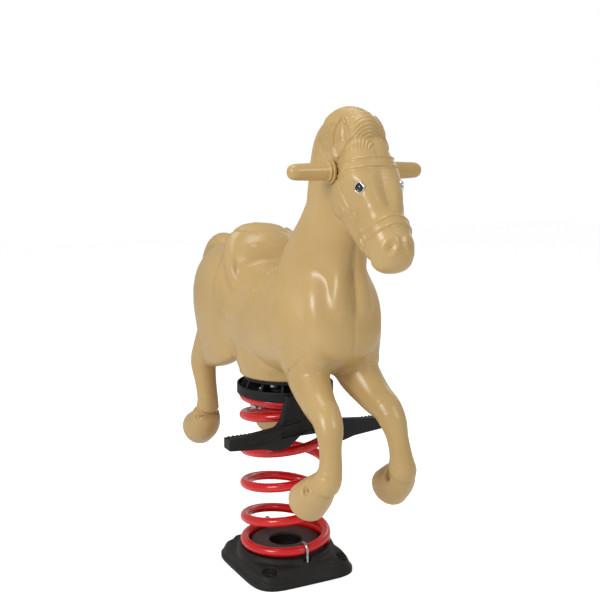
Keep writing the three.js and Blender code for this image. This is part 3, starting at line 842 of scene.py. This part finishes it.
millimetre = 0.001
moulded("horseBody", horseBody, (-0.42, -0.15, 0.41), (0.47, 0.15, 1.01), bodyStep * millimetre, "horsePlastic",
        "rider", ["horse_body"], (detailZone, fineZone), horseRelief)


def mirroredPair(name, shape, values, replaced):
    low, high = np.array(values["low"]) / 1000, np.array(values["high"]) / 1000
    points, faces = surfaceOf(shape, low, high, legStep * millimetre)
    points = settle(shape, relaxed(settle(shape, points, 1), faces), 2)
    for side, word in ((1, "Left"), (-1, "Right")):
        turned = faces if side > 0 else faces[:, ::-1]
        piece(name + word, meshOf(points * (1, side, 1), turned), "horsePlastic", "rider",
              [replaced + "_" + word.lower()])
    print(name, "has", len(faces), "faces")


mirroredPair("frontLeg", frontPiece, frontLeg, "front_leg")
mirroredPair("hindLeg", hindPiece, hindLeg, "hind_leg")


# Handle and eyes

def lathe(profile, sides, place, turn=None):  # [radius, height] points turned about a line along +Y
    angles = np.linspace(0, 2 * math.pi, sides, endpoint=False)
    rings = [[(r * math.cos(a), h, r * math.sin(a)) for a in angles] for r, h in profile]
    points = np.array(rings).reshape(-1, 3)
    if turn:
        lean = math.radians(turn)
        x, y = points[:, 0].copy(), points[:, 1].copy()
        points[:, 0] = x * math.cos(lean) + y * math.sin(lean)
        points[:, 1] = -x * math.sin(lean) + y * math.cos(lean)
    points += np.array(place)
    faces = []
    for i in range(len(profile) - 1):
        for j in range(sides):
            k = (j + 1) % sides
            faces.append([i * sides + j, i * sides + k, (i + 1) * sides + k, (i + 1) * sides + j])
    faces.append(list(range(sides))[::-1])
    faces.append([(len(profile) - 1) * sides + j for j in range(sides)])
    return points, faces


def rounded(corners, radius=1.0, steps=4):  # rounds a profile's corners, all but its two ends
    corners = [np.array(c, float) for c in corners]
    made = [corners[0]]
    for a, b, c in zip(corners, corners[1:], corners[2:]):
        before, after = a - b, c - b
        cutOff = min(radius, 0.45 * np.linalg.norm(before), 0.45 * np.linalg.norm(after))
        start = b + before / np.linalg.norm(before) * cutOff
        end = b + after / np.linalg.norm(after) * cutOff
        made += [(1 - t) ** 2 * start + 2 * t * (1 - t) * b + t * t * end for t in np.linspace(0, 1, steps)]
    return made + [corners[-1]]


def sidePair(name, profile, sides, place, turn, finish, replaced):
    points, faces = lathe(profile, sides, place, turn)
    for side, word in ((1, "Left"), (-1, "Right")):
        turned = [f[::-1] if side < 0 else f for f in faces]
        made = piece(name + word, meshOf(points * millimetre * (1, side, 1), turned), finish, "rider",
                     [replaced + "_" + word.lower()])
        tidyNormals(made)


def tidyNormals(made):
    mesh = bmesh.new()
    mesh.from_mesh(made.data)
    bmesh.ops.recalc_face_normals(mesh, faces=mesh.faces)
    mesh.to_mesh(made.data)
    mesh.free()
    made.data.set_sharp_from_angle(angle=math.radians(50))


handle = {
    "place": (293, 0, 878),
    "collar": [(0.5, 52), (20.5, 52), (22, 53.2), (22, 57), (20.6, 58), (0.5, 58)],
    "grip": [(0.5, 58.3), (19.5, 58.3), (19.5, 63), (17, 64), (16.6, 78), (14.9, 124), (14.2, 131), (11.5, 137),
             (6.5, 140.4), (0.5, 141)],
    "collarEdge": 1.0,
    "gripEdge": 3.0,
}
eyes = {
    "place": (379, 43, 852.5),
    "turn": 24,  # forwards, degrees
    "bezel": [(6.9, -3.5), (10.4, -3.5), (10.9, -1), (10.9, 1.2), (10.0, 3.2), (8.9, 3.5),
              (8.0, 2.6), (7.5, 1.2), (6.9, 0.6)],
    "pupil": [(0.05, -3.5), (7.3, -3.5), (7.3, 0.9), (6.4, 2.4), (4.4, 3.7), (2.2, 4.5), (0.05, 4.8)],
}
sidePair("gripCollar", rounded(handle["collar"], handle["collarEdge"]), 64, handle["place"], None, "gripPlastic",
         "grip_collar")
sidePair("grip", rounded(handle["grip"], handle["gripEdge"], 6), 64, handle["place"], None, "gripPlastic",
         "grip")
sidePair("eyeBezel", rounded(eyes["bezel"], 0.4), 48, eyes["place"], eyes["turn"], "eyeSilver",
         "eye_bezel")
sidePair("eyePupil", rounded(eyes["pupil"], 0.6), 48, eyes["place"], eyes["turn"], "pupilBlack",
         "eye_pupil")
print("handle and eyes ready")


# Bracket

bracket = {
    "round": 1.6,  # edge radius
    "rim": {"radius": 104.6, "thick": 3.8, "low": 395.3, "high": 416.3},
    "flange": (103.6, 400.3, 407.3),
    "neck": (60, 406, 429),
    "plate": (90, 428, 436.7),
    "gusset": [[57, 429], [57, 406.3], [96.6, 406.3], [86, 429]],
    "web": [[52, 413], [57, 390], [66, 362], [84, 341], [84, 325], [0, 325]],
    "rib": [[52, 413], [57, 390], [66, 362], [86, 341], [76, 334], [58, 362], [49, 390], [44, 413]],
    "beam": [[184, 340], [92, 340], [72, 340], [40, 352], [0, 360], [0, 334], [24, 328], [44, 312], [60, 304],
             [80, 304], [106, 311], [184, 318]],
    "arm": [[66, 340], [184, 340], [184, 318], [106, 311], [78, 304], [66, 304]],
    "treads": {"from": 130, "pitch": 9, "count": 6, "half": 2.4, "rise": 2.6},
    "hole": 40,
    "bolts": ((45, 135, 225, 315), 75, 5.4, 10.5),
    "clips": ((105, 195, 285), 69, 4.4, 9.5),
    "step": 1.7,
}


def polygonDistance(corners, u, v):
    corners = np.array(corners, float) / 1000
    nearest = np.full(len(u), 1.0)
    within = np.zeros(len(u), bool)
    for a, b in zip(corners, np.roll(corners, -1, axis=0)):
        run = b - a
        pu, pv = u - a[0], v - a[1]
        t = np.clip((pu * run[0] + pv * run[1]) / (run @ run), 0, 1)
        nearest = np.minimum(nearest, np.hypot(pu - run[0] * t, pv - run[1] * t))
        crosses = (a[1] > v) != (b[1] > v)
        if run[1]:
            within ^= crosses & (u < a[0] + (v - a[1]) * run[0] / run[1])
    return np.where(within, -nearest, nearest)


def thick(flat, across, edge):  # a flat outline given some thickness, with its edges rounded
    a, b = flat + edge, across + edge
    return np.hypot(np.maximum(a, 0), np.maximum(b, 0)) + np.minimum(np.maximum(a, b), 0) - edge


def between(value, low, high):
    return np.abs(value - (low + high) / 2000) - (high - low) / 2000


def disc(p, radius, low, high, edge, centre=(0, 0)):
    flat = np.hypot(p[:, 0] - centre[0] / 1000, p[:, 1] - centre[1] / 1000) - radius / 1000
    return thick(flat, between(p[:, 2], low, high), edge)


def onCircle(p, angles, radius):  # distance in plan from the nearest of some places on a circle
    places = [(radius * math.cos(math.radians(a)) / 1000, radius * math.sin(math.radians(a)) / 1000) for a in angles]
    return np.min([np.hypot(p[:, 0] - x, p[:, 1] - y) for x, y in places], axis=0)


def bracketShape(points):
    b, p = bracket, leftSide(points)
    edge = b["round"] / 1000
    x, y, z = p.T
    r = np.hypot(x, y)
    rim = b["rim"]
    band = thick(np.abs(r - (rim["radius"] - rim["thick"] / 2) / 1000) - rim["thick"] / 2000,
                 between(z, rim["low"], rim["high"]), edge * 0.7)
    shape = join(band, disc(p, *b["flange"], edge * 0.5), 0.002)
    shape = join(shape, disc(p, *b["neck"], edge * 0.5), 0.004)
    shape = join(shape, disc(p, *b["plate"], edge), 0.003)
    turn = np.mod(np.arctan2(y, x) + math.pi / 12, math.pi / 6) - math.pi / 12
    gusset = thick(polygonDistance(b["gusset"], r * np.cos(turn), z), np.abs(r * np.sin(turn)) - 0.003, 0.001)
    shape = join(shape, gusset, 0.003)
    front = x > 0.05
    q = p[front]
    side, height, depth = q[:, 1], q[:, 2], q[:, 0]
    web = thick(polygonDistance(b["web"] + [[-52, 325], [-52, 413]], side, height), between(depth, 102, 110), edge)
    rib = thick(polygonDistance(b["rib"], side, height), between(depth, 102, 115), edge)
    beam = thick(polygonDistance(b["beam"] + [[-10, 334], [-10, 360]], side, height), between(depth, 102, 119), edge)
    beam = join(beam, thick(polygonDistance(b["arm"], side, height), between(depth, 88, 118), edge), 0.002)
    t = b["treads"]
    along = side * 1000 - t["from"]
    nearTread = np.clip(np.round(along / t["pitch"]), 0, t["count"] - 1)
    offset = np.abs(along - nearTread * t["pitch"])
    row = np.mod(nearTread, 2)
    zigzag = np.abs(np.mod(depth * 1000 - 91 + row * 4, 8) - 4) * 0.35
    tread = thick(np.maximum((offset - t["half"] + zigzag) / 1000, between(height, 336, 340 + t["rise"])),
                  between(depth, 91.5, 115.5), 0.0006)
    front2 = join(join(join(web, rib, 0.004), beam, 0.004), tread, 0.001)
    shape[front] = join(shape[front], front2, 0.004)
    shape = carve(shape, np.maximum(r - b["hole"] / 1000, 0.38 - z), 0.001)
    for (angles, circle, hole, well), (low, high) in ((b["bolts"], (408.3, 428)), (b["clips"], (407.3, 427))):
        away = onCircle(points, angles, circle)
        shape = carve(shape, away - hole / 1000, 0.0005)
        shape = carve(shape, np.maximum(away - well / 1000, between(z, low, high)), 0.001)
    return shape


moulded("footrestBracket", bracketShape, (-0.108, -0.188, 0.3), (0.122, 0.188, 0.44), bracket["step"] * millimetre,
        "bracketBlack", "rider", ["footrest_bracket"])


# Base

base = {
    "half": (130, 121),
    "power": 5,
    "levels": [[0, 0], [9, 0], [13, 3.5], [26, 9], [37, 17], [40, 22]],  # height, inset
    "deck": 40,
    "shoulder": [[34, 109], [40, 108], [44, 106], [49.7, 102]],  # height, radius
    "seat": 49.7,
    "hub": (77, 45, 57),
    "bore": (37, 30, 24, 9),
    "holes": (102, 90, 5.5, 17, 28),
    "rods": (76, 104, 3.3, 9, 14),
    "notch": (97, 113, 9, 42.7),
    "swoosh": {"angle": -38, "spread": 40, "rise": 1.6},
    "step": 2.0,
}


def baseShape(points):
    b, p = base, np.abs(points)
    z = points[:, 2]
    mm = z * 1000
    halfX, halfY = np.array(b["half"]) / 1000
    r = np.hypot(p[:, 0], p[:, 1])
    g = ((p[:, 0] / halfX) ** b["power"] + (p[:, 1] / halfY) ** b["power"]) ** (1 / b["power"])
    outline = r * (1 - 1 / np.maximum(g, 0.05)) * 0.85
    levels = np.array(b["levels"], float)
    inset = np.interp(mm, levels[:, 0], levels[:, 1]) / 1000
    side = (outline + inset) * 0.8
    shape = -join(-side, -(z - b["deck"] / 1000), 0.003)
    shoulder = np.array(b["shoulder"], float)
    cone = (r - np.interp(mm, shoulder[:, 0], shoulder[:, 1]) / 1000) * 0.85
    cone = np.maximum(-join(-cone, -(z - b["seat"] / 1000), 0.002), 0.02 - z)
    shape = join(shape, cone, 0.004)
    shape = join(shape, disc(points, *b["hub"], 0.002), 0.0015)
    wide, wideFloor, narrow, narrowFloor = b["bore"]
    shape = carve(shape, np.maximum(r - wide / 1000, wideFloor / 1000 - z), 0.0015)
    shape = carve(shape, np.maximum(r - narrow / 1000, narrowFloor / 1000 - z), 0.001)
    holeX, holeY, hole, pocket, floor = b["holes"]
    away = np.hypot(p[:, 0] - holeX / 1000, p[:, 1] - holeY / 1000)
    shape = carve(shape, np.maximum(away - pocket / 1000, floor / 1000 - z), 0.0015)
    shape = carve(shape, away - hole / 1000, 0.001)
    inner, outer, rod, well, wellTop = b["rods"]
    for radius in (inner, outer):
        away = np.hypot(p[:, 0] - radius / 1000, p[:, 1])
        shape = carve(shape, away - rod / 1000, 0.0004)
        shape = carve(shape, np.maximum(away - well / 1000, z - wellTop / 1000), 0.0005)
    near, far, half, low = b["notch"]
    notch = np.maximum(np.maximum(between(p[:, 0], near, far), p[:, 1] - half / 1000), low / 1000 - z)
    shape = carve(shape, notch, 0.001)
    return np.maximum(shape, -z)


def baseRelief(points):
    q = points * 1000
    angle = np.degrees(np.arctan2(q[:, 1], q[:, 0])) - base["swoosh"]["angle"]
    share = np.clip(angle / base["swoosh"]["spread"] + 0.5, 0, 1)
    middle = 27 - 12 * share
    half = 6.5 * np.sin(math.pi * share) ** 0.8
    onFlank = (q[:, 2] > 6) & (q[:, 2] < 38)
    edge = np.where(onFlank & (share > 0) & (share < 1), half - np.abs(q[:, 2] - middle), -9)
    return base["swoosh"]["rise"] * 0.001 * step(edge, -0.6, 1.2)


baseMade = moulded("baseMoulding", baseShape, (-0.136, -0.127, -0.006), (0.136, 0.127, 0.063),
                   base["step"] * millimetre, "baseBlack", "base", ["base_moulding"], (), baseRelief)
# the top of the hub, inside the spring, takes the browner grey instead of the base's black
baseMade.data.materials.append(finishes["hubBrownGrey"])
for face in baseMade.data.polygons:
    x, y, z = face.center
    face.material_index = int(z > 0.0505 and math.hypot(x, y) < 0.079 and math.hypot(x, y) > 0.0365)


# Spring

spring = {
    "radius": 90, "wire": 10, "bottom": 60, "top": 390, "turns": 6, "start": 50, "flat": 230, "ease": 160,
    "cuts": (0, 0.37, 0.6, 1), "cutGap": 0.3, "sides": 28, "degrees": 5, "edge": 1.2,
}
endAngle = spring["turns"] * 360
slope = (spring["top"] - spring["bottom"]) / (endAngle - 2 * spring["flat"] - spring["ease"])


def wireHeight(angle):
    half = endAngle / 2
    middle = (spring["top"] + spring["bottom"]) / 2

    def rise(a):
        s = np.clip((a - spring["flat"]) / spring["ease"], 0, 1)
        return np.where(a <= spring["flat"] + spring["ease"], spring["ease"] * s * s / 2,
                        a - spring["flat"] - spring["ease"] / 2)
    lower = spring["bottom"] + slope * rise(angle)
    upper = 2 * middle - spring["bottom"] - slope * rise(endAngle - angle)
    return np.where(angle <= half, lower, upper)


def tube(path, radii, sides):  # a closed round tube along a path, with a radius at each of its points
    path, radii = np.array(path), np.array(radii)
    along = np.gradient(path, axis=0)
    along /= np.linalg.norm(along, axis=1)[:, None]
    up = np.tile(np.array((0.0, 0.0, 1.0)), (len(path), 1))
    up[np.abs(along[:, 2]) > 0.9] = (1.0, 0.0, 0.0)
    out = np.cross(along, up)
    out /= np.linalg.norm(out, axis=1)[:, None]
    for i in range(1, len(out)):
        out[i] = out[i - 1] - along[i] * (out[i - 1] @ along[i])
        out[i] /= np.linalg.norm(out[i])
    up = np.cross(out, along)
    angles = np.linspace(0, 2 * math.pi, sides, endpoint=False)
    cosines, sines = np.cos(angles), np.sin(angles)
    rings = [path[i] + radii[i] * (np.outer(cosines, out[i]) + np.outer(sines, up[i])) for i in range(len(path))]
    points = np.array(rings).reshape(-1, 3)
    faces = []
    for i in range(len(path) - 1):
        for j in range(sides):
            k = (j + 1) % sides
            faces.append([i * sides + j, i * sides + k, (i + 1) * sides + k, (i + 1) * sides + j])
    faces.append(list(range(sides))[::-1])
    faces.append([(len(path) - 1) * sides + j for j in range(sides)])
    return points, faces


def springStretch(name, i, replaced):
    s = spring
    gapAngle = s["cutGap"] / s["radius"] * 180 / math.pi
    start = endAngle * s["cuts"][i] + (gapAngle if i else 0)
    end = endAngle * s["cuts"][i + 1]
    angles = np.linspace(start, end, int((end - start) / s["degrees"]) + 2)
    edgeAngle = math.degrees(s["edge"] / s["radius"])
    extra = [start + edgeAngle * t for t in (0.3, 1)] + [end - edgeAngle * t for t in (0.3, 1)]
    angles = np.unique(np.concatenate([angles, extra]))
    radii = np.full(len(angles), float(s["wire"]))
    if i == 0:
        radii[:2] = (s["wire"] - 1.2, s["wire"] - 0.4)
    if i == 2:
        radii[-2:] = (s["wire"] - 0.4, s["wire"] - 1.2)
    around = np.radians(s["start"] + angles)
    path = np.stack([s["radius"] * np.cos(around), s["radius"] * np.sin(around), wireHeight(angles)], axis=1)
    points, faces = tube(path, radii, s["sides"])
    made = piece(name, meshOf(points * millimetre, faces), "springRed", None, [replaced])
    tidyNormals(made)
    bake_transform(made)


springStretch("springLower", 0, "spring_lower")
springStretch("springMiddle", 1, "spring_middle")
springStretch("springUpper", 2, "spring_upper")
print("spring ready")


# Small hardware

clamp = {"reach": 14, "rod": 3, "foot": 4, "angles": {"front": 360, "rear": 180}}


def lowerClamp(word, side):
    c = clamp
    crown = float(wireHeight(np.array(c["angles"][word] - spring["start"])))
    bend = [(c["reach"] * math.cos(a), 0, crown + c["reach"] * math.sin(a)) for a in np.linspace(math.pi, 0, 25)]
    down = np.linspace(c["foot"], crown, 12)[:-1]
    path = [(-c["reach"], 0, z) for z in down] + bend + [(c["reach"], 0, z) for z in down[::-1]]
    radii = [c["rod"] * (0.8 if i in (0, len(path) - 1) else 1) for i in range(len(path))]
    points, faces = tube(path, radii, 20)
    points[:, 0] += side * spring["radius"]
    made = piece("lowerClamp" + word.capitalize(), meshOf(points * millimetre, faces), "zinc", "base",
                 ["lower_clamp_" + word])
    tidyNormals(made)


lowerClamp("front", 1)
lowerClamp("rear", -1)
for name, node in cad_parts.items():
    if not node.hide_render:
        node.data.materials.clear()
        node.data.materials.append(finishes["zinc"])
print("hardware ready")


# Floor and backdrop

floor = {"size": 14, "shade": (0.9, 0.9, 0.9), "rough": 0.9, "lift": 0.6}  # lift brightens what the camera sees of it
studio = {"light": 0.42, "seen": 1.0}  # the world's strength on the object, and where the camera looks past it


def makeFloor(f):
    mesh = meshOf(np.array([(-1, -1, 0), (1, -1, 0), (1, 1, 0), (-1, 1, 0)]) * f["size"] / 2, [[0, 1, 2, 3]])
    made = bpy.data.objects.new("floor", mesh)
    bpy.context.collection.objects.link(made)
    finish = newFinish("floorWhite")
    seen = finish.mix(finish.node("ShaderNodeLightPath"), (0, 0, 0), (1, 1, 1))
    mesh.materials.append(finish.surface({"Base Color": f["shade"], "Roughness": f["rough"], "Emission Color": seen,
                                          "Emission Strength": f["lift"]}))


def makeWorld(s):
    world = bpy.data.worlds.new("studio")
    bpy.context.scene.world = world
    nodes = Finish(world)
    strength = s["light"] + (s["seen"] - s["light"]) * nodes.node("ShaderNodeLightPath")
    back = nodes.node("ShaderNodeBackground", None, {"Color": (1, 1, 1), "Strength": strength})
    nodes.node("ShaderNodeOutputWorld", None, {"Surface": back})


makeFloor(floor)
makeWorld(studio)
